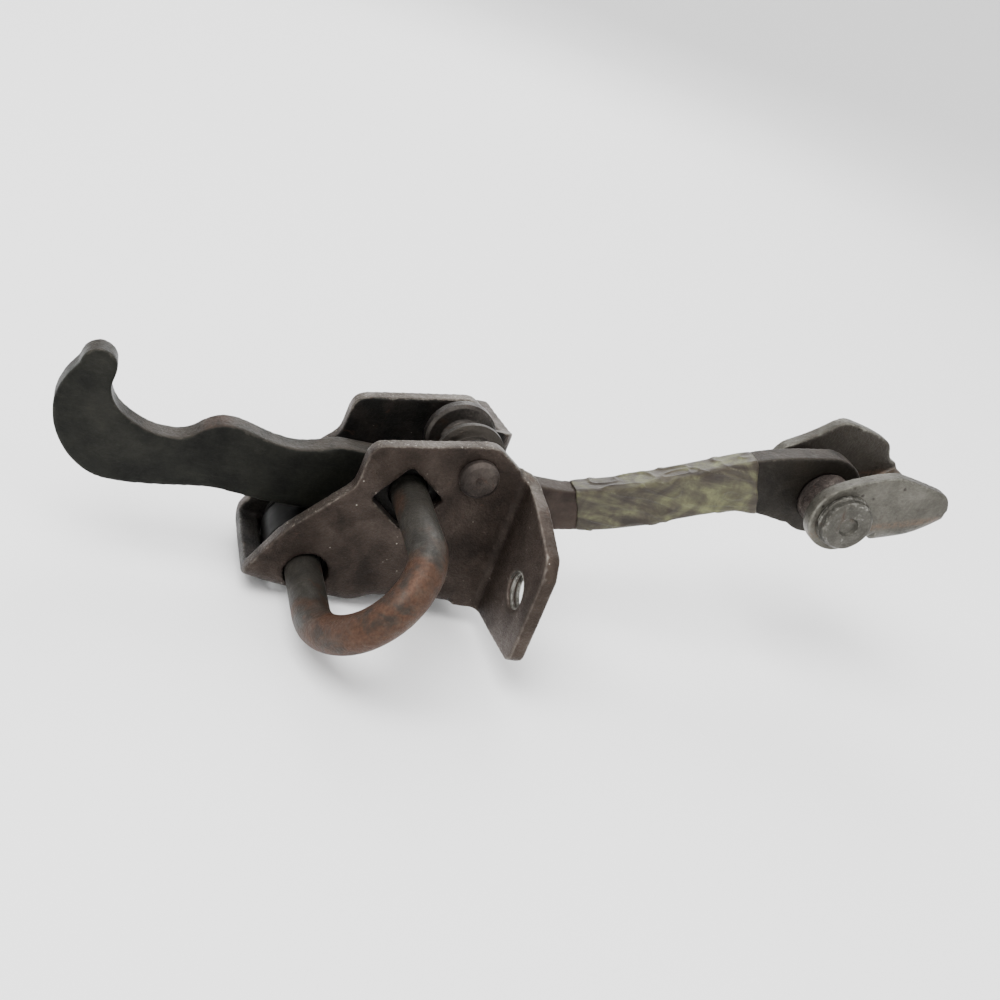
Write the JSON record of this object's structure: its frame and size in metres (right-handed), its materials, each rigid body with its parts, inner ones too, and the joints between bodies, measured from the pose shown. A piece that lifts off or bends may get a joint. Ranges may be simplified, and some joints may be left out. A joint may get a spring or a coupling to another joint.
{
  "type": "car door check",
  "caption": "Door check: a cammed, hooked arm slides through a sheet-steel housing between a grooved roller and a sprung roller, and ends in a riveted yoke.",
  "frame": {"origin": "middle of the bottom of the bounding box at rest", "axes": "+X along the arm from the hooked end to the yoke, +Y along the pins away from the spring rod's loop, +Z from the housing's web up past the grooved roller"},
  "size_m": [0.187, 0.0778, 0.0548],
  "materials": {
    "sheet_steel": "bare sheet steel, greasy and tarnished brown",
    "arm_steel": "black phosphated steel with grease, rubbed bright along the edges",
    "spring_steel": "bare spring steel with light rust on the loop",
    "roller_steel": "turned steel, worn in the groove",
    "rivet_steel": "upset steel with a worn rim",
    "ring_steel": "rough turned steel, tarnished",
    "yoke_steel": "sheared and coined steel, dull grey",
    "black_nylon": "black moulded nylon with grease",
    "clear_tape": "yellowed clear tape over dark steel, creased"
  },
  "bodies": {
    "housing": {"housing": "sheet_steel", "roller_pin": "rivet_steel", "near_side_washer": "ring_steel", "far_side_washer": "ring_steel", "roller_bush": "ring_steel"},
    "grooved_roller": {"grooved_roller": "roller_steel"},
    "arm": {"arm": "arm_steel", "eye_bush": "ring_steel", "tape_wrap": "clear_tape"},
    "yoke": {"yoke_bracket": "yoke_steel", "yoke_pin": "rivet_steel", "near_spacer_ring": "ring_steel", "far_spacer_ring": "ring_steel"},
    "spring_rod": {"spring_rod": "spring_steel", "anchor_collar": "ring_steel", "retaining_clip": "rivet_steel", "near_thrust_washer": "ring_steel", "far_thrust_washer": "ring_steel"},
    "lower_roller": {"lower_roller": "black_nylon"}
  },
  "joints": [
    {"name": "arm_slide", "type": "slide", "parent": "housing", "child": "arm", "axis": [1, 0, 0], "range_m": [-0.018, 0.06]},
    {"name": "yoke_pivot", "type": "hinge", "parent": "arm", "child": "yoke", "pos_m": [0.06778, 0.00454, 0.0407], "axis": [0, 1, 0], "range_deg": [-70, 70]},
    {"name": "grooved_roller_spin", "type": "hinge", "parent": "housing", "child": "grooved_roller", "pos_m": [-0.01582, 0.00454, 0.0346], "axis": [0, 1, 0], "range_deg": [-865, 262]},
    {"name": "spring_rod_flex", "type": "hinge", "parent": "housing", "child": "spring_rod", "pos_m": [-0.02712, 0.00454, 0.0269], "axis": [0, -1, 0], "range_deg": [0, 2], "stiffness_Nm_per_rad": 4, "springref_deg": -5.73},
    {"name": "lower_roller_spin", "type": "hinge", "parent": "spring_rod", "child": "lower_roller", "pos_m": [-0.04312, 0.00454, 0.007], "axis": [0, 1, 0], "range_deg": [-150, 495]}
  ],
  "couplings": [
    {"joint": "grooved_roller_spin", "follows": "arm_slide", "rad_per_m": -250},
    {"joint": "lower_roller_spin", "follows": "arm_slide", "rad_per_m": 142.86}
  ]
}
